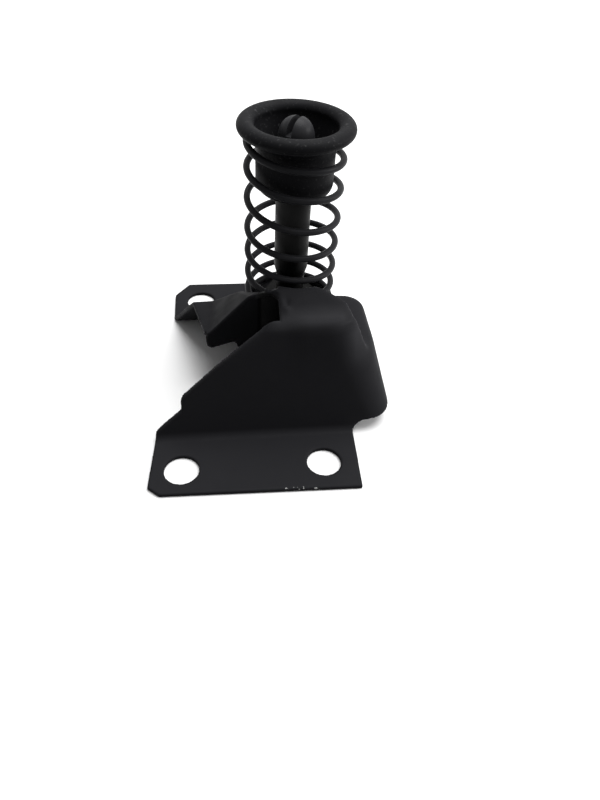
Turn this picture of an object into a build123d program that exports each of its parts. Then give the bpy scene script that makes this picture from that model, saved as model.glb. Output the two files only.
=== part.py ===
from build123d import *
import math
import os

os.makedirs("parts", exist_ok=True)

# Bonnet safety catch: a sprung striker pin standing on a deep-drawn bracket.
# Millimetres, +Z up along the pin, -Y towards the front flange, Z 0 under the flanges.

# sheet and drawn hump
sheet = 1.8
foot_front = -49.8
foot_rear = 34.1
foot_right = 43.2
hump_top = 62.0
lean_front = 0.30
lean_rear = 0.896
lean_right = 0.30
corner = 9.9
corner_grow = 0.2
rear_corner = 9.0
edge_r = 4.5
bend_r = 3.5
shoulder_y = -35.0
shoulder_z = 50.1
shoulder_r = 14.0
crest_y = -22.5
crest_z = 56.5
crest_right_x = 17.7
crest_drop_x = 30.0
crest_drop_z = 35.3
crest_round = 16.0
ridge_back = -8.5
flank_x = 8.0
flank_y = -20.0
flank_slope = -0.615
deck_x = -37.4
deck_z = 30.6
deck_rear_x = -43.0
deck_rear_y = 8.0
deck_rear_z = 29.7
catch_y = -16.3
slot_front_y = -26.0
skirt_gap = 6.2
skirt_x = 23.8

# slot and catch lip
slot_end_x = -7.5
slot_back_r = 24.6
lip_low = 24.9
lip_right = -12.0

# flanges and holes
bolt_hole_r = 7.0
bolt_spacing = 57.7
bolt_mid_x = -19.85
bolt_y = -65.7
rear_hole_x = -40.9
rear_hole_y = 46.4
flange_front = -79.3
flange_left = -61.8
flange_right = 22.8
flange_clip = 4.7
tab_left = -54.4
tab_front = 32.4
tab_rear = 61.3
tab_right = 14.0
tab_clip_x = 7.2
tab_clip_y = 9.6

# cup and spring
cup_r = 14.8
cup_wall = 1.6
cup_corner = 4.5
cup_bore = 7.1
rim_r = 21.6
rim_z = 110.5
rim_wide = 3.2
rim_high = 2.5
flare_drop = 9.6
rim_under = 1.6
cup_depth = 22.5
wire_r = 1.3
coil_gap = 1.9
coil_r = cup_r + coil_gap + wire_r
coil_pitch = 10.9

# striker pin
shaft_r = 7.0
thread_r = 5.9
head_r = 9.6
nose_r = 6.7
pin_top = rim_z + 3.2
head_z = rim_z - cup_depth
head_rim = 2.2
nose_z = pin_top - 6.6
taper_top = 53.4
taper_low = 49.3
pin_low = 15.0
slot_w = 2.2
slot_depth = 5.0

# seat under the spring, and the nuts
seat_z = 34.8
seat_r = coil_r + wire_r + 1.7
boss_r = coil_r + wire_r + 1.0
nut_af = 19.0
lock_nut_h = 6.0
weld_nut_h = 10.0


def outline(d, z, back=lean_rear):
    """Plan corners of the hump at height z with every wall moved inward by d."""
    def side(foot, lean, sign):
        return foot + sign * (lean * z + d * math.sqrt(1 + lean * lean))

    left = side(-120, 0.1, 1)
    right = side(foot_right, lean_right, -1)
    front = side(foot_front, lean_front, 1)
    rear = side(foot_rear, back, -1)
    return [(left, front), (right, front), (right, rear), (left, rear)]


def block(d, top, back=lean_rear):
    """Leaning block with rounded upright corners."""
    with BuildPart() as form:
        for z in (-6.0, top):
            points = outline(d, z, back)
            with BuildSketch(Plane.XY.offset(z)) as level:
                with BuildLine():
                    Polyline(*points, close=True)
                make_face()
                front_right = level.vertices().sort_by_distance((*points[1], 0))[0]
                fillet(front_right, corner + corner_grow * z - d)
                rear_right = level.vertices().sort_by_distance((*points[2], 0))[0]
                fillet(rear_right, rear_corner - d)
        loft(ruled=True)
    return form.part


def ridge(d):
    """Tall front ridge that shields the spring."""
    rise = math.atan2(crest_z - shoulder_z, crest_y - shoulder_y)
    drop = math.atan2(crest_z - crest_drop_z, crest_drop_x - crest_right_x)
    wall_y = shoulder_y + d * math.sqrt(1 + lean_front * lean_front)
    wall_low = wall_y - lean_front * (shoulder_z + 10)
    slope_z = crest_z - d / math.cos(rise)
    # the front slope meets the leaning wall at the shoulder
    meet = (slope_z - math.tan(rise) * (crest_y - wall_y) - shoulder_z) / (1 - math.tan(rise) * lean_front)
    with BuildPart() as side:
        with BuildSketch(Plane.YZ.offset(-130)) as view:
            with BuildLine():
                Polyline(
                    (wall_low, -10),
                    (wall_y + lean_front * meet, shoulder_z + meet),
                    (crest_y, slope_z),
                    (ridge_back, slope_z),
                    (ridge_back, -10),
                    close=True,
                )
            make_face()
            fillet(view.vertices().sort_by(Axis.X)[1], shoulder_r - d)
        extrude(amount=200)
    with BuildPart() as front:
        with BuildSketch(Plane.XZ.offset(-60)) as view:
            shift = d * math.tan(drop / 2)
            with BuildLine():
                Polyline(
                    (-130, -10),
                    (-130, crest_z - d),
                    (crest_right_x - shift, crest_z - d),
                    (crest_drop_x - d / math.sin(drop), crest_drop_z),
                    (crest_drop_x + 12 - d / math.sin(drop), crest_drop_z - 12 * math.tan(drop)),
                    (crest_drop_x + 12 - d / math.sin(drop), -10),
                    close=True,
                )
            make_face()
            crest_end = view.vertices().sort_by_distance((crest_right_x - shift, 0, crest_z - d))[0]
            fillet(crest_end, crest_round - d)
        extrude(amount=150)
    away = Vector(-flank_slope, 1, 0).normalized() * d
    with BuildPart() as plan:
        with BuildSketch(Plane.XY.offset(-6)):
            with BuildLine():
                Polyline(
                    (-130, -90),
                    (70 - away.X, -90),
                    (70 - away.X, flank_y - away.Y + (70 - flank_x) * flank_slope),
                    (flank_x - away.X, flank_y - away.Y),
                    (flank_x - away.X, ridge_back),
                    (-130, ridge_back),
                    close=True,
                )
            make_face()
        extrude(amount=100)
    return block(d, hump_top, 0) & side.part & front.part & plan.part


def deck_room(d):
    """Space above the deck: steep in front at the catch edge, with a level strip at its left rear."""
    low = d * 1.3
    with BuildPart() as room:
        with BuildSketch(Plane.XZ.offset(-slot_front_y)):
            with BuildLine():
                Polyline(
                    (-72, deck_z - low),
                    (deck_x - 1, deck_z - low),
                    (deck_x + 2, deck_z + 2.8 - low),
                    (-16.1, 54.8 - low),
                    (slot_end_x, 58.8 - low),
                    (slot_end_x, 90),
                    (-72, 90),
                    close=True,
                )
            make_face()
        with BuildSketch(Plane.XZ.offset(-deck_rear_y)):
            with BuildLine():
                Polyline(
                    (-72, deck_rear_z - 0.3 - d),
                    (deck_rear_x, deck_rear_z - d),
                    (-34.2, deck_rear_z + 0.6 - d),
                    (-27.5, 36.1 - d),
                    (slot_end_x, 40.3 - d),
                    (slot_end_x, 90),
                    (-72, 90),
                    close=True,
                )
            make_face()
        loft(ruled=True)
    with BuildPart() as behind:
        with BuildSketch(Plane.XY.offset(deck_rear_z - d)):
            with Locations(((slot_end_x - 72) / 2, deck_rear_y)):
                Rectangle(72 + slot_end_x, 30, align=(Align.CENTER, Align.MIN))
        extrude(amount=60)
    return room.part + behind.part


def hump(d):
    """Whole hump form, with the panel round its foot, moved inward by d."""
    low = block(d, seat_z - d)
    low = low.fillet(edge_r - d, low.edges().group_by(Axis.Z)[-1])
    form = low + ridge(d)
    left = Pos(slot_end_x, catch_y - sheet, 0) * Box(100, 60, 80, align=(Align.MAX, Align.MIN, Align.MIN))
    back = Plane(origin=(0, foot_rear, 0), x_dir=(1, 0, 0), z_dir=(0, 1, lean_rear)).offset(-d)
    behind = back * Box(400, 200, 100, align=(Align.CENTER, Align.CENTER, Align.MIN))
    form = form + ((block(d, hump_top, 0) & left) - behind) - deck_room(d)
    upright = (Align.CENTER, Align.CENTER, Align.MIN)
    form = form + Pos(0, 0, -5) * Cone(boss_r + 3 - d, boss_r - d, 5 + seat_z - d, align=upright)
    pocket = Cylinder(seat_r + d, 80, align=upright)
    form = form - Pos(0, 0, seat_z - d) * pocket
    # the panel level is blended into the walls by the bend radius
    level = sheet - d
    form = form + Pos(0, 0, level) * Box(300, 300, 12, align=(Align.CENTER, Align.CENTER, Align.MAX))
    seam = form.edges().filter_by_position(Axis.Z, level - 0.01, level + 0.01)
    return form.fillet(bend_r + d, [e for e in seam if max(abs(e.center().X), abs(e.center().Y)) < 130])


def prism(plane, points, amount):
    """Straight prism over a closed polygon."""
    with BuildPart() as form:
        with BuildSketch(plane):
            with BuildLine():
                Polyline(*points, close=True)
            make_face()
        extrude(amount=amount)
    return form.part


# sheet of the hump, cut back to the deck's left edge
outer = hump(0)
inner = hump(sheet)
shell = outer - inner
left_cut = prism(
    Plane.XY.offset(-8),
    [
        (-170, catch_y - sheet),
        (deck_x, catch_y - sheet),
        (deck_x, catch_y),
        (deck_rear_x, deck_rear_y),
        (tab_left, tab_front),
        (-170, tab_front),
    ],
    100,
)

# the front wall and roof are cut away above a slanted edge, which leaves the slot
slant = prism(
    Plane.XZ.offset(-catch_y - 10),
    [
        (-170, sheet),
        (-59.7, sheet),
        (-59.3, 4.4),
        (-57.4, 6.5),
        (-54.4, 9.0),
        (-50.2, 12.4),
        (-48.4, 14.1),
        (-48.0, 15.7),
        (-48.1, 18.1),
        (-47.2, 20.3),
        (-44.3, 22.7),
        (-33.1, 32.4),
        (-21.1, 41.9),
        (-12, 48.9),
        (slot_end_x, 51.3),
        (slot_end_x, 90),
        (-170, 90),
    ],
    100,
)
in_front = prism(
    Plane.XY.offset(-8),
    [
        (-180, -100),
        (slot_end_x, -100),
        (slot_end_x, -math.sqrt(slot_back_r**2 - slot_end_x**2)),
        (-13, -math.sqrt(slot_back_r**2 - 13**2)),
        (-math.sqrt(slot_back_r**2 - catch_y**2), catch_y),
        (-180, catch_y),
    ],
    120,
)
slot_gap = Pos(0, shoulder_y + sheet, sheet) * Box(360, 60, 120, align=(Align.CENTER, Align.MIN, Align.MIN))
shell = shell - left_cut - (slant & in_front) - (slot_gap & in_front)

# catch lip: turned-down front edge of the deck beside the slot
lip_form = prism(
    Plane.XZ.offset(-catch_y),
    [
        (deck_x + 0.9, lip_low + 2),
        (deck_x + 2.2, lip_low),
        (deck_x + 3.9, lip_low),
        (-27.8, lip_low + 2),
        (-24, lip_low + 2.3),
        (lip_right, lip_low + 6),
        (lip_right, 70),
        (deck_x, 70),
    ],
    sheet,
)
lip_form = lip_form & outer
pocket_room = Pos(0, 0, seat_z) * Cylinder(seat_r, 60, align=(Align.CENTER, Align.CENTER, Align.MIN))
lip_form = lip_form - pocket_room

# flange and tab outlines trim the panel level
flange = prism(
    Plane.XY.offset(-1),
    [
        (flange_left, flange_front + 6),
        (flange_left + flange_clip, flange_front),
        (flange_right, flange_front),
        (skirt_x + 0.6, shoulder_y),
        (flange_left + 3.2, shoulder_y),
    ],
    skirt_gap + 1,
)
tab = prism(
    Plane.XY.offset(-1),
    [
        (tab_left, tab_front - 10),
        (tab_right, tab_front - 10),
        (tab_right, tab_rear),
        (tab_left + tab_clip_x, tab_rear),
        (tab_left, tab_rear - tab_clip_y),
    ],
    skirt_gap + 1,
)
above = Pos(0, 0, skirt_gap) * Box(290, 290, 100, align=(Align.CENTER, Align.CENTER, Align.MIN))

# beside the flange the skirt's lower edge rises clear of the panel
ramp = prism(
    Plane.XZ,
    [
        (skirt_x - 3, sheet + 0.2),
        (skirt_x + 0.2, sheet + 0.6),
        (skirt_x + 1.6, 4.2),
        (skirt_x + 4.2, 5.9),
        (skirt_x + 8, skirt_gap),
        (skirt_x + 8, skirt_gap + 1),
        (skirt_x - 3, skirt_gap + 1),
    ],
    70,
)
body = (shell + lip_form) & (flange + tab + above + ramp)
for x, y in (
    (bolt_mid_x - bolt_spacing / 2, bolt_y),
    (bolt_mid_x + bolt_spacing / 2, bolt_y),
    (rear_hole_x, rear_hole_y),
):
    body = body - Pos(x, y, 0) * Cylinder(bolt_hole_r, 20)
body = body - Cylinder(thread_r + 0.6, 100)

bracket = body.solids().sort_by(SortBy.VOLUME)[-1]
bracket.label = "bracket"
export_step(bracket, "parts/bracket.step")

# striker pin: slotted bullet head, shaft, taper to the threaded end
with BuildPart() as striker_pin:
    with BuildSketch(Plane.XZ):
        with BuildLine():
            Polyline(
                (0, pin_low),
                (thread_r - 1, pin_low),
                (thread_r, pin_low + 1),
                (thread_r, taper_low),
                (shaft_r, taper_top),
                (shaft_r, head_z),
                (head_r, head_z),
                (head_r, head_z + head_rim),
                (nose_r + 0.6, nose_z - 3),
                (nose_r, nose_z),
            )
            nose = [(nose_r, nose_z), (nose_r * 0.74, pin_top - 2.0), (0, pin_top)]
            Spline(*nose, tangents=[(-0.1, 1), (-1, 0)])
            Line((0, pin_top), (0, pin_low))
        make_face()
    revolve(axis=Axis.Z)
    with Locations((0, 0, pin_top)):
        Box(slot_w, 3 * nose_r, slot_depth * 2, rotation=(0, 0, -34), mode=Mode.SUBTRACT)
striker_pin.part.label = "striker_pin"
export_step(striker_pin.part, "parts/striker_pin.step")

# lock nut on the seat and weld nut below it
with BuildPart() as lock_nut:
    with BuildSketch(Plane.XY.offset(seat_z)):
        RegularPolygon(nut_af / 2, 6, major_radius=False)
        Circle(thread_r, mode=Mode.SUBTRACT)
    extrude(amount=lock_nut_h)
lock_nut.part.label = "lock_nut"
export_step(lock_nut.part, "parts/lock_nut.step")

with BuildPart() as weld_nut:
    with BuildSketch(Plane.XY.offset(seat_z - sheet - weld_nut_h)):
        RegularPolygon(nut_af / 2, 6, major_radius=False)
        Circle(thread_r, mode=Mode.SUBTRACT)
    extrude(amount=weld_nut_h)
weld_nut.part.label = "weld_nut"
export_step(weld_nut.part, "parts/weld_nut.step")

# cup: deep spring retainer with a flared, thick rolled rim and a bored floor
cup_low = head_z - cup_wall
flare_z = rim_z - flare_drop
rim_mid = rim_r - rim_wide
under_r = rim_r - 0.75
under_z = rim_z - rim_under
with BuildPart() as cup:
    with BuildSketch(Plane.XZ) as section:
        with BuildLine():
            Polyline(
                (cup_bore, cup_low),
                (cup_r, cup_low),
                (cup_r, flare_z),
                (under_r, under_z),
                (rim_mid, rim_z),
                (rim_mid - rim_wide * 0.95, rim_z - rim_high * 0.3),
                (cup_r - cup_wall, flare_z + cup_wall / 2),
                (cup_r - cup_wall, head_z),
                (cup_bore, head_z),
                close=True,
            )
        make_face()
        low_out = section.vertices().sort_by_distance((cup_r, 0, cup_low))[0]
        low_in = section.vertices().sort_by_distance((cup_r - cup_wall, 0, head_z))[0]
        fillet(low_out, cup_corner)
        fillet(low_in, cup_corner - cup_wall)
        with Locations((rim_mid, rim_z)):
            Ellipse(rim_wide, rim_high)
    revolve(axis=Axis.Z)
cup.part.label = "cup"
export_step(cup.part, "parts/cup.step")

# spring: left-handed coil, closed at both ends, held between the seat and the cup's flare
section_r = wire_r * 1.05
flare_slope = (under_z - flare_z) / (under_r - cup_r)
spring_low = seat_z + section_r
spring_high = flare_z + (coil_r - cup_r) * flare_slope - (section_r + 0.06) * math.hypot(1, flare_slope)
turns = (spring_high - spring_low) / coil_pitch
with BuildPart() as spring:
    with BuildLine() as path:
        Helix(coil_pitch, coil_pitch * turns, coil_r, center=(0, 0, spring_low), lefthand=True)
    with BuildSketch(Plane(origin=path.line @ 0, z_dir=path.line % 0)):
        RegularPolygon(section_r, 8)
    sweep(is_frenet=True)
    for z in (spring_low, spring_high):
        with BuildSketch(Plane.XZ):
            with Locations((coil_r, z)):
                RegularPolygon(section_r, 8)
        revolve(axis=Axis.Z)
spring.part.label = "spring"
export_step(spring.part, "parts/spring.step")
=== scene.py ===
import math

import bmesh
import bpy
from mathutils import Matrix, Vector


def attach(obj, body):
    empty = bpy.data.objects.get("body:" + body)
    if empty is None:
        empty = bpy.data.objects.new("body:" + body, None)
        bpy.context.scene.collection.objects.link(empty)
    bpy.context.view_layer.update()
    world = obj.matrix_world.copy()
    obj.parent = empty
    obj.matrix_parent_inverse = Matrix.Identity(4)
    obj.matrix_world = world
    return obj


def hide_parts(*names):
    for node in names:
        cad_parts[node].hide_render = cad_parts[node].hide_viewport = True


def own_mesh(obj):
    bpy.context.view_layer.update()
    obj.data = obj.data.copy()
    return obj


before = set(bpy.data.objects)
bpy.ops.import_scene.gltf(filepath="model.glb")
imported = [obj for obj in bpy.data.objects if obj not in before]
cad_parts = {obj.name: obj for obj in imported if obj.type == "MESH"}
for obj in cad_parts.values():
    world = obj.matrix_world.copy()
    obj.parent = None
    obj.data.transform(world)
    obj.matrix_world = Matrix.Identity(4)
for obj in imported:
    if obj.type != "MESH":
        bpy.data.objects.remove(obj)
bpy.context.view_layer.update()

# every length here is in millimetres, and MM turns it into metres
MM = 0.001

# heights, radii and travel of the moving set
SEAT = 34.8
CUP_LOW = 86.4
CUP_BORE = 7.1
CUP_R = 14.8
CUP_CORNER = 4.5
WALL = 1.6
HEAD_SEAT = CUP_LOW + WALL
RIM_R = 21.6
RIM_Z = 110.5
RIM_WIDE = 3.2
RIM_HIGH = 2.5
FLARE_Z = 103.6
WIRE = 1.3
COIL = 18.0

# camera, solved from the photo, and the nearest depth that it draws
CAMERA_PLACE = (-27.75, -216.34, 195.07)
TURN = math.radians(-9.41)
PITCH = math.radians(45.70)
ROLL = math.radians(4.04)
LENS = 27
SENSOR = 36
NEAREST = 10
FORWARD = Vector(
    (
        -math.sin(TURN) * math.cos(PITCH),
        math.cos(TURN) * math.cos(PITCH),
        -math.sin(PITCH),
    )
)

# paint: linear colours
BLACK = (0.0152, 0.0152, 0.0170)
CUP_BLACK = (0.0095, 0.0095, 0.0106)
PIN_BLACK = (0.021, 0.021, 0.023)
# painted shade, for the slot's pocket and the shaft
PAINTED_SHADE = (0.003, 0.003, 0.003)
# painted shade, for the ramp
PAINTED_RAMP_SHADE = (0.009, 0.009, 0.010)
# painted sheen, for the brow and the right shoulder
PAINTED_SHEEN = (0.034, 0.034, 0.037)
WORN_TONE = (0.09, 0.09, 0.092)
BARE_TONE = (0.55, 0.55, 0.54)

# noise scales of the paint's gloss, its bump, and its specks and chips, and the bump's height
GLOSS_SCALE = 160.0
BUMP_SCALE = 1400.0
SPECK_SCALE = 900.0
BUMP_HEIGHT = 0.2

# places where light or shade is painted into the colour, as ranges in x, y and z: painted shade in
# the pocket, on the ramp and on the shaft, and a painted sheen on the brow band and the shoulder
POCKET = ((-15.0, -5.0), (-24.5, -17.2), (20.0, 54.5))
RAMP = ((-35.0, -18.5), (-16.5, 6.0), (30.0, 56.0))
BROW_BAND = ((-10.5, 20.0), (-37.5, -30.5), (47.0, 53.5))
SHOULDER = ((20.0, 27.2), (-38.5, -29.0), (30.0, 46.0))
SHAFT = ((-30.0, 30.0), (-30.0, 30.0), (-10.0, 87.2))

# bare chips lie between two places in x, in front of a place in y, and fade out over short lengths
CHIPS_LEFT = -9.5
CHIPS_RIGHT = 6.8
CHIPS_REAR = -77.8
CHIPS_FADE_X = 0.5
CHIPS_FADE_Y = 0.2


class Paint:
    """Satin paint with uneven gloss and a faint bump, which can be worn and chipped, and can take
    painted light and shade in boxes.
    """

    def __init__(self, name, base, rough, grain, level):
        self.material = bpy.data.materials.new(name)
        self.material.use_nodes = True
        self.nodes = self.material.node_tree.nodes
        self.links = self.material.node_tree.links
        self.shader = self.nodes["Principled BSDF"]
        self.base = base
        self.shader.inputs["Base Color"].default_value = (*base, 1)
        self.shader.inputs["Specular IOR Level"].default_value = level
        self.where = self.nodes.new("ShaderNodeTexCoord").outputs["Object"]
        patches = self.noise(GLOSS_SCALE, detail=6.0)
        gloss = self.spread(patches, low=0.3, high=0.7, at_low=rough - 0.06, at_high=rough + 0.08)
        self.links.new(gloss, self.shader.inputs["Roughness"])
        bump = self.nodes.new("ShaderNodeBump")
        bump.inputs["Strength"].default_value = grain
        bump.inputs["Distance"].default_value = BUMP_HEIGHT * MM
        self.links.new(self.noise(BUMP_SCALE, detail=3.0), bump.inputs["Height"])
        self.links.new(bump.outputs["Normal"], self.shader.inputs["Normal"])

    def noise(self, scale, detail):
        """Noise of the given scale, over the piece's own coordinates."""
        node = self.nodes.new("ShaderNodeTexNoise")
        node.inputs["Scale"].default_value = scale
        node.inputs["Detail"].default_value = detail
        self.links.new(self.where, node.inputs["Vector"])
        return node.outputs["Fac"]

    def spread(self, value, low, high, at_low=0.0, at_high=1.0):
        """The value stretched so that low becomes at_low and high becomes at_high."""
        node = self.nodes.new("ShaderNodeMapRange")
        node.inputs["From Min"].default_value = low
        node.inputs["From Max"].default_value = high
        node.inputs["To Min"].default_value = at_low
        node.inputs["To Max"].default_value = at_high
        self.links.new(value, node.inputs["Value"])
        return node.outputs["Result"]

    def times(self, a, b):
        """Product of two values."""
        node = self.nodes.new("ShaderNodeMath")
        node.operation = "MULTIPLY"
        self.links.new(a, node.inputs[0])
        self.links.new(b, node.inputs[1])
        return node.outputs["Value"]

    def axes(self):
        """The place on the piece, split into x, y and z."""
        node = self.nodes.new("ShaderNodeSeparateXYZ")
        self.links.new(self.where, node.inputs["Vector"])
        return node.outputs

    def blend(self, share, tone):
        """Mix a tone over the colour so far."""
        node = self.nodes.new("ShaderNodeMix")
        node.data_type = "RGBA"
        node.inputs["A"].default_value = (*self.base, 1)
        node.inputs["B"].default_value = (*tone, 1)
        colour = self.shader.inputs["Base Color"]
        for link in colour.links:
            self.links.new(link.from_socket, node.inputs["A"])
        self.links.new(share, node.inputs["Factor"])
        self.links.new(node.outputs["Result"], colour)

    def wear(self, amount):
        """Pale worn specks."""
        specks = self.noise(SPECK_SCALE, detail=4.0)
        self.blend(self.spread(specks, low=0.60, high=0.72, at_high=amount), WORN_TONE)

    def chip(self):
        """Bare chips along the front edge."""
        axes = self.axes()
        specks = self.noise(SPECK_SCALE, detail=2.0)
        share = self.spread(specks, low=0.62, high=0.64)
        for axis, edge, fade, before, after in (
            ("X", CHIPS_LEFT, CHIPS_FADE_X, 0.0, 1.0),
            ("X", CHIPS_RIGHT, CHIPS_FADE_X, 1.0, 0.0),
            ("Y", CHIPS_REAR, CHIPS_FADE_Y, 1.0, 0.0),
        ):
            side = self.spread(axes[axis], edge * MM, (edge + fade) * MM, before, after)
            share = self.times(share, side)
        self.blend(share, BARE_TONE)

    def paint_light_and_shade(self, box, soft, tone):
        """Painted light or shade: a tone inside a box, with edges that fade over the soft length to
        each side.
        """
        axes = self.axes()
        share = None
        for axis, (low, high) in zip("XYZ", box):
            for edge, before, after in ((low, 0.0, 1.0), (high, 1.0, 0.0)):
                side = self.spread(axes[axis], (edge - soft) * MM, (edge + soft) * MM, before, after)
                share = side if share is None else self.times(share, side)
        self.blend(share, tone)


def bracket_paint():
    paint = Paint("bracket_paint", BLACK, rough=0.54, grain=0.10, level=0.03)
    paint.chip()
    # painted shade in the slot's pocket
    paint.paint_light_and_shade(POCKET, soft=0.4, tone=PAINTED_SHADE)
    # painted shade on the ramp
    paint.paint_light_and_shade(RAMP, soft=2.6, tone=PAINTED_RAMP_SHADE)
    # painted sheen along the brow and on the right shoulder
    paint.paint_light_and_shade(BROW_BAND, soft=2.6, tone=PAINTED_SHEEN)
    paint.paint_light_and_shade(SHOULDER, soft=3.2, tone=PAINTED_SHEEN)
    return paint.material


def cup_paint():
    paint = Paint("cup_paint", CUP_BLACK, rough=0.48, grain=0.16, level=0.03)
    paint.wear(0.35)
    return paint.material


def spring_paint():
    return Paint("spring_paint", BLACK, rough=0.42, grain=0.05, level=0.06).material


def pin_paint():
    paint = Paint("pin_paint", PIN_BLACK, rough=0.42, grain=0.08, level=0.08)
    # painted shade on the shaft under the cup
    paint.paint_light_and_shade(SHAFT, soft=0.4, tone=PAINTED_SHADE)
    return paint.material


# objects and meshes
def take(obj, material):
    """Give the piece one material."""
    obj.data.materials.clear()
    obj.data.materials.append(material)


def add_object(name, data):
    """Put new data into the scene."""
    obj = bpy.data.objects.new(name, data)
    bpy.context.scene.collection.objects.link(obj)
    return obj


def smooth(mesh):
    """Smooth shading on every face."""
    for polygon in mesh.polygons:
        polygon.use_smooth = True


def mesh_piece(name, verts, faces, material):
    """A smooth piece from points in millimetres."""
    mesh = bpy.data.meshes.new(name)
    mesh.from_pydata([Vector(vert) * MM for vert in verts], [], faces)
    mesh.validate()
    mesh.update()
    smooth(mesh)
    obj = add_object(name, mesh)
    take(obj, material)
    return obj


def stand_for(piece, node, body):
    """The piece is shown in place of the CAD node and moves with its body."""
    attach(piece, body)
    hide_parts(node)


def apply_modifiers(obj):
    """Freeze the modifiers into the mesh."""
    bpy.context.view_layer.update()
    graph = bpy.context.evaluated_depsgraph_get()
    mesh = bpy.data.meshes.new_from_object(obj.evaluated_get(graph))
    obj.modifiers.clear()
    obj.data = mesh


# bracket: a plate with the lip's outline in x and z, and one for the slot's round corner
LIP_SHEET = 1.7
LIP_FRONT = -18.1
LIP = (
    (-37.2, 30.0),
    (-36.9, 25.4),
    (-35.2, 23.8),
    (-32.6, 24.5),
    (-27.8, 26.2),
    (-25.2, 27.0),
    (-24.4, 26.0),
    (-23.7, 23.6),
    (-19.0, 24.0),
    (-13.0, 28.0),
    (-13.0, 33.0),
    (-24.0, 32.5),
    (-34.8, 30.2),
)
SLOT_CORNER = (
    (-12.4, -19.6, 55.1),
    (-4.5, -20.5, 55.6),
    (-4.4, -28.8, 53.4),
    (-6.6, -26.0, 54.1),
    (-9.6, -22.4, 54.9),
)
CORNER_SHEET = 1.6

# the even mesh comes from a grid of 2 to this depth, of which the bracket's length fills a share
GRID_DEPTH = 8
GRID_SHARE = 0.82

# rounds of smoothing for the bends and for the drawn form
BEND_ROUNDS = 4
DRAWN_ROUNDS = 30

# the drawn form starts over these ranges in x and z, away from every cut edge
DRAWN_X = (-4.5, 1.5)
DRAWN_Z = (11.0, 17.0)

# below a height, the flange in front of a line is drawn back by a share that grows to the left
ASKEW_FROM_Y = -73.2
ASKEW_FROM_X = 22.8
ASKEW_SPAN = 80
ASKEW = 0.33
FLANGE_TOP = 6

# the full brow: middle in y and z, reach above and below, height, way out in y and z, start in x
BROW_Y = -35.6
BROW_Z = 47.2
BROW_ABOVE = 5.2
BROW_BELOW = 11.0
BROW_HEIGHT = 1.2
BROW_OUT = (-0.57, 0.82)
BROW_X = (-6.0, 4.0)

# the curled edge under the slot: its height at x = 0 and its slope, then the curl's depth and range
EDGE_HEIGHT = 58.8
EDGE_SLOPE = 0.714
CURL = 1.5
CURL_REACH = 5.5
CURL_STARTS_X = (-34.0, -16.0)
CURL_ENDS_X = (-9.0, -3.0)
CURL_STARTS_Y = (-29.0, -33.0)

# wrinkles at the end of the slot: place, width and height of each, the lowest point that moves,
# and the weight of y, which under 1 makes them longer that way
WRINKLES = (
    ((-6.0, -27.8, 53.8), 1.3, 0.8),
    ((-4.7, -30.2, 52.6), 1.5, 0.7),
    ((-4.4, -27.4, 54.0), 1.1, -0.7),
)
WRINKLE_LOW = 46
WRINKLE_Y_WEIGHT = 0.5


def step(value, low, high):
    """Smooth step from 0 at low to 1 at high."""
    t = min(1.0, max(0.0, (value - low) / (high - low)))
    return t * t * (3 - 2 * t)


def plate(outline, offset):
    """Closed plate from an outline of points and the offset to its other face."""
    work = bmesh.new()
    near = [work.verts.new(Vector(point) * MM) for point in outline]
    far = [work.verts.new((Vector(point) + Vector(offset)) * MM) for point in outline]
    work.faces.new(near)
    work.faces.new(far[::-1])
    for k in range(len(outline)):
        j = (k + 1) % len(outline)
        work.faces.new((near[j], near[k], far[k], far[j]))
    bmesh.ops.recalc_face_normals(work, faces=work.faces)
    mesh = bpy.data.meshes.new("plate")
    work.to_mesh(mesh)
    work.free()
    return add_object("plate", mesh)


def join(obj, extra):
    """Join a plate to the piece and remove it."""
    union = obj.modifiers.new("union", "BOOLEAN")
    union.operation = "UNION"
    union.solver = "EXACT"
    union.object = extra
    apply_modifiers(obj)
    bpy.data.objects.remove(extra, do_unlink=True)


def make_even(obj):
    """Remesh the piece evenly, with its edges kept."""
    even = obj.modifiers.new("even", "REMESH")
    even.mode = "SHARP"
    even.octree_depth = GRID_DEPTH
    even.scale = GRID_SHARE
    even.use_remove_disconnected = False
    apply_modifiers(obj)


def ease(obj):
    """Ease every bend a little and the drawn form more."""
    group = obj.vertex_groups.new(name="drawn")
    for vertex in obj.data.vertices:
        x, _, z = obj.matrix_world @ vertex.co / MM
        share = step(x, *DRAWN_X) * step(z, *DRAWN_Z)
        if share > 0:
            group.add([vertex.index], share, "REPLACE")
    bends = obj.modifiers.new("bends", "SMOOTH")
    bends.factor = 0.5
    bends.iterations = BEND_ROUNDS
    drawn = obj.modifiers.new("drawn", "SMOOTH")
    drawn.factor = 0.5
    drawn.iterations = DRAWN_ROUNDS
    drawn.vertex_group = "drawn"
    apply_modifiers(obj)


def askew_flange(x, y, z):
    """The flange's front edge runs askew."""
    if y < ASKEW_FROM_Y and z < FLANGE_TOP:
        share = ASKEW * min(1.0, max(0.0, (ASKEW_FROM_X - x) / ASKEW_SPAN))
        y = ASKEW_FROM_Y + (y - ASKEW_FROM_Y) * (1 - share)
    return x, y, z


def full_brow(x, y, z):
    """The brow of the roof swells out."""
    reach = BROW_ABOVE if z > BROW_Z else BROW_BELOW
    away = math.hypot(y - BROW_Y, z - BROW_Z) / reach
    swell = BROW_HEIGHT * step(x, *BROW_X) * math.exp(-(away**2))
    return x, y + BROW_OUT[0] * swell, z + BROW_OUT[1] * swell


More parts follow.
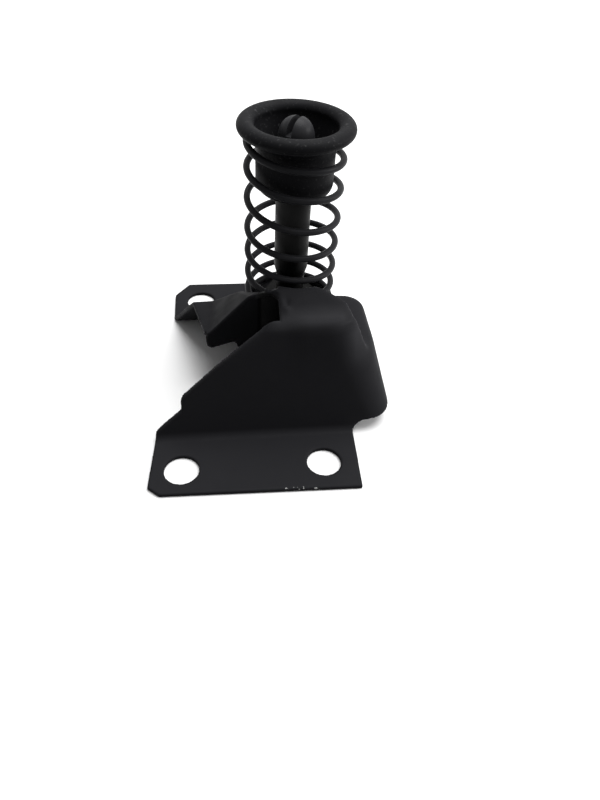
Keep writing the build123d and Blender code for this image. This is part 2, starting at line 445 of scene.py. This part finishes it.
def curled_edge(x, y, z):
    """The edge curls away along the camera's view, so that its outline in that view stays."""
    below = (EDGE_HEIGHT + EDGE_SLOPE * x - z) / math.hypot(1, EDGE_SLOPE)
    curl = CURL * max(0.0, 1 - max(0.0, below) / CURL_REACH) ** 2
    curl *= step(x, *CURL_STARTS_X) * (1 - step(x, *CURL_ENDS_X)) * step(y, *CURL_STARTS_Y)
    return x + FORWARD.x * curl, y + FORWARD.y * curl, z + FORWARD.z * curl


def wrinkled(x, y, z):
    """The sheet is wrinkled at the end of the slot."""
    for (cx, cy, cz), width, height in WRINKLES:
        away = (x - cx) ** 2 + WRINKLE_Y_WEIGHT * (y - cy) ** 2 + (z - cz) ** 2
        if away < (3 * width) ** 2 and z > WRINKLE_LOW:
            z += height * math.exp(-away / width**2)
    return x, y, z


def work_by_hand(obj):
    """Shift the piece's points by the small forms that the photo shows."""
    place = obj.matrix_world
    back = place.inverted()
    for vertex in obj.data.vertices:
        point = tuple(place @ vertex.co / MM)
        for form in (askew_flange, full_brow, curled_edge, wrinkled):
            point = form(*point)
        vertex.co = back @ (Vector(point) * MM)


def bracket_pressing():
    """Copy of the CAD bracket on an even mesh, with its bends eased and small forms worked in."""
    source = bpy.data.objects["bracket"]
    obj = add_object("bracket_pressing", source.data.copy())
    obj.matrix_world = source.matrix_world.copy()
    join(obj, plate([(x, LIP_FRONT, z) for x, z in LIP], (0, LIP_SHEET, 0)))
    join(obj, plate(SLOT_CORNER, (0, 0, -CORNER_SHEET)))
    make_even(obj)
    ease(obj)
    work_by_hand(obj)
    smooth(obj.data)
    take(obj, bracket_paint())
    return obj


# spring: heights of the wire's centre after a number of turns down from the top
STOPS = (
    (0.00, 105.9),
    (0.25, 104.9),
    (0.50, 101.9),
    (0.75, 99.6),
    (1.25, 95.3),
    (1.50, 91.2),
    (1.75, 88.3),
    (2.25, 83.4),
    (2.50, 78.8),
    (2.75, 76.2),
    (3.25, 70.7),
    (3.50, 67.3),
    (3.75, 65.6),
    (4.25, 60.5),
    (4.50, 57.3),
    (4.75, 55.1),
    (5.25, 50.6),
    (5.50, 48.0),
    (5.75, 46.2),
    (6.25, 41.8),
    (6.75, 38.4),
    (7.10, SEAT + WIRE + 0.4),
    (7.40, SEAT + WIRE),
    (8.10, SEAT + WIRE),
)

# the wire starts at the back, at this angle in degrees
SPRING_START = 90
SPRING_STEPS = 680
WIRE_SIDES = 16

# going down, the spring leans to the left and draws in by these lengths a turn
LEAN = 0.06
DRAW_IN = 0.04


def wire_height(turn):
    """Smooth height through the stops."""
    last = len(STOPS) - 1
    i = 0
    while i < last - 1 and turn > STOPS[i + 1][0]:
        i += 1

    def slope(k):
        low, high = max(0, k - 1), min(last, k + 1)
        return (STOPS[high][1] - STOPS[low][1]) / (STOPS[high][0] - STOPS[low][0])

    (start, start_z), (end, end_z) = STOPS[i], STOPS[i + 1]
    width = end - start
    u = (turn - start) / width
    stay = 2 * u**3 - 3 * u**2 + 1
    leave = (u**3 - 2 * u**2 + u) * slope(i) * width
    arrive = (u**3 - u**2) * slope(i + 1) * width
    return stay * start_z + leave + (1 - stay) * end_z + arrive


def wire_path():
    """Points along the wire's centre, from the top down."""
    turns = STOPS[-1][0]
    path = []
    for i in range(SPRING_STEPS + 1):
        turn = turns * i / SPRING_STEPS
        angle = math.radians(SPRING_START + 360 * turn)
        radius = COIL - DRAW_IN * turn
        x = radius * math.cos(angle) - LEAN * turn
        path.append(Vector((x, radius * math.sin(angle), wire_height(turn))))
    return path


def coil_spring():
    """Round wire swept along its path."""
    path = wire_path()
    last = len(path) - 1
    verts = []
    for i, point in enumerate(path):
        ahead = (path[min(i + 1, last)] - path[max(i - 1, 0)]).normalized()
        out = Vector((point.x, point.y, 0)).normalized()
        up = ahead.cross(out).normalized()
        out = up.cross(ahead).normalized()
        for k in range(WIRE_SIDES):
            a = 2 * math.pi * k / WIRE_SIDES
            verts.append(point + out * (WIRE * math.cos(a)) + up * (WIRE * math.sin(a)))
    faces = []
    for i in range(last):
        ring, after = i * WIRE_SIDES, (i + 1) * WIRE_SIDES
        for k in range(WIRE_SIDES):
            j = (k + 1) % WIRE_SIDES
            faces.append((ring + k, ring + j, after + j, after + k))
    faces.append(tuple(range(WIRE_SIDES))[::-1])
    faces.append(tuple(last * WIRE_SIDES + k for k in range(WIRE_SIDES)))
    return mesh_piece("coil_spring", verts, faces, spring_paint())


# cup: the flare's curve outside, outward from the wall and upward from its start
FLARE = ((0.0, -2.0), (0.15, -0.6), (0.5, 0.9), (1.1, 2.3), (2.0, 3.6), (3.1, 4.5))

# the curve inside under the rim, outward from the wall and upward from the rim's middle, and how far
# under the flare's start it meets the straight wall
UNDER_RIM = ((2.2, -1.8), (1.5, -4.2), (0.8, -6.6), (0.2, -8.1))
WALL_END = 3.0

# a ring part of the way up the straight wall keeps its shading straight, outside and inside
WALL_RING = 95.0
WALL_RING_INSIDE = 96.0

# the rim is rolled between these angles in degrees
RIM_FROM = -78
RIM_TO = 196

# small edge of the bore, and the cup's segments round its axis
EDGE = 0.2
EDGE_RISE = 0.3
CUP_SEGMENTS = 112


def arc(cx, cz, rx, rz, start, end, steps):
    """Points on an ellipse between two angles in degrees."""
    points = []
    for i in range(steps + 1):
        a = math.radians(start + (end - start) * i / steps)
        points.append((cx + rx * math.cos(a), cz + rz * math.sin(a)))
    return points


def cup_profile():
    """Closed profile of radius and height: up the outside, over the rim and down the inside."""
    inner_r = CUP_R - WALL
    inner_corner = CUP_CORNER - WALL
    centre_r = CUP_R - CUP_CORNER
    centre_z = CUP_LOW + CUP_CORNER
    return (
        [(CUP_BORE, CUP_LOW + EDGE_RISE), (CUP_BORE + EDGE, CUP_LOW)]
        + arc(centre_r, centre_z, CUP_CORNER, CUP_CORNER, start=-90, end=0, steps=10)
        + [(CUP_R, WALL_RING)]
        + [(CUP_R + out, FLARE_Z + up) for out, up in FLARE]
        + arc(RIM_R - RIM_WIDE, RIM_Z, RIM_WIDE, RIM_HIGH, RIM_FROM, RIM_TO, steps=28)
        + [(inner_r + out, RIM_Z + up) for out, up in UNDER_RIM]
        + [(inner_r, FLARE_Z - WALL_END), (inner_r, WALL_RING_INSIDE)]
        + arc(centre_r, centre_z, inner_corner, inner_corner, start=0, end=-90, steps=8)
        + [(CUP_BORE + EDGE, HEAD_SEAT), (CUP_BORE, HEAD_SEAT - EDGE_RISE)]
    )


def cup_turned():
    """Turned form from the cup's profile."""
    profile = cup_profile()
    verts = []
    for radius, height in profile:
        for k in range(CUP_SEGMENTS):
            a = 2 * math.pi * k / CUP_SEGMENTS
            verts.append((radius * math.cos(a), radius * math.sin(a), height))
    faces = []
    for i in range(len(profile)):
        low = i * CUP_SEGMENTS
        high = (i + 1) % len(profile) * CUP_SEGMENTS
        for k in range(CUP_SEGMENTS):
            j = (k + 1) % CUP_SEGMENTS
            faces.append((low + k, low + j, high + j, high + k))
    return mesh_piece("cup_turned", verts, faces, cup_paint())


# floor and sky: tones where they are seen, and for the light that they throw
FLOOR_WIDTH = 2400
FLOOR_SEEN = 0.97
FLOOR_THROWN = 0.06
SKY_SEEN = 1.0
SKY_THROWN = 0.22


def seen(nodes, links):
    """1 for camera, glossy and transmission rays, and 0 for the light that is thrown on."""
    path = nodes.new("ShaderNodeLightPath")
    share = path.outputs["Is Camera Ray"]
    for kind in ("Is Glossy Ray", "Is Transmission Ray"):
        either = nodes.new("ShaderNodeMath")
        either.operation = "MAXIMUM"
        links.new(share, either.inputs[0])
        links.new(path.outputs[kind], either.inputs[1])
        share = either.outputs["Value"]
    return share


def floor_material():
    """Matt floor: white to the camera and in reflections, and grey in the light it throws back."""
    material = bpy.data.materials.new("floor")
    material.use_nodes = True
    nodes = material.node_tree.nodes
    links = material.node_tree.links
    shader = nodes["Principled BSDF"]
    shader.inputs["Roughness"].default_value = 0.9
    shader.inputs["Specular IOR Level"].default_value = 0.0
    tone = nodes.new("ShaderNodeMix")
    tone.data_type = "RGBA"
    tone.inputs["A"].default_value = (FLOOR_THROWN, FLOOR_THROWN, FLOOR_THROWN, 1)
    tone.inputs["B"].default_value = (FLOOR_SEEN, FLOOR_SEEN, FLOOR_SEEN, 1)
    links.new(seen(nodes, links), tone.inputs["Factor"])
    links.new(tone.outputs["Result"], shader.inputs["Base Color"])
    return material


def lay_floor():
    """Wide plane that the catch lies on."""
    bpy.ops.mesh.primitive_plane_add(size=FLOOR_WIDTH * MM, location=(0, 0, 0))
    floor = bpy.context.object
    floor.name = "floor"
    take(floor, floor_material())


def light_world():
    """Sky that is white where it is seen, and faint in the light it throws."""
    world = bpy.data.worlds.new("studio")
    bpy.context.scene.world = world
    world.use_nodes = True
    nodes = world.node_tree.nodes
    links = world.node_tree.links
    sky = nodes["Background"]
    sky.inputs["Color"].default_value = (1, 1, 1, 1)
    strength = nodes.new("ShaderNodeMapRange")
    strength.inputs["To Min"].default_value = SKY_THROWN
    strength.inputs["To Max"].default_value = SKY_SEEN
    links.new(seen(nodes, links), strength.inputs["Value"])
    links.new(strength.outputs["Result"], sky.inputs["Strength"])


# lamps and camera
def area_lamp(name, place, target, width, depth, power):
    """Soft lamp at a place, facing a target."""
    data = bpy.data.lights.new(name, "AREA")
    data.shape = "RECTANGLE"
    data.size = width * MM
    data.size_y = depth * MM
    data.energy = power
    lamp = add_object(name, data)
    lamp.location = Vector(place) * MM
    lamp.rotation_euler = (Vector(target) - Vector(place)).to_track_quat("-Z", "Y").to_euler()


def set_camera():
    """Camera where the photo was taken."""
    right = Vector((math.cos(TURN), math.sin(TURN), 0))
    upward = right.cross(FORWARD)
    side = right * math.cos(ROLL) + upward * math.sin(ROLL)
    top = upward * math.cos(ROLL) - right * math.sin(ROLL)
    data = bpy.data.cameras.new("camera")
    data.sensor_width = SENSOR
    data.lens = LENS
    data.clip_start = NEAREST * MM
    camera = add_object("camera", data)
    view = Matrix((side, top, -FORWARD)).transposed().to_4x4()
    camera.matrix_world = Matrix.Translation(Vector(CAMERA_PLACE) * MM) @ view
    bpy.context.scene.camera = camera


# the whole scene
stand_for(bracket_pressing(), "bracket", "mount")

spring = coil_spring()
stand_for(spring, "spring", "mount")
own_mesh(spring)

stand_for(cup_turned(), "cup", "plunger")

pin_coat = pin_paint()
for node in ("striker_pin", "lock_nut", "weld_nut"):
    take(bpy.data.objects[node], pin_coat)

lay_floor()
light_world()
area_lamp("top_soft", (260, 260, 1150), (0, 0, 40), width=1200, depth=1000, power=22.0)
area_lamp("side_soft", (1050, -50, 420), (0, 0, 50), width=500, depth=500, power=6.5)
set_camera()
bpy.context.scene.view_settings.view_transform = "Standard"
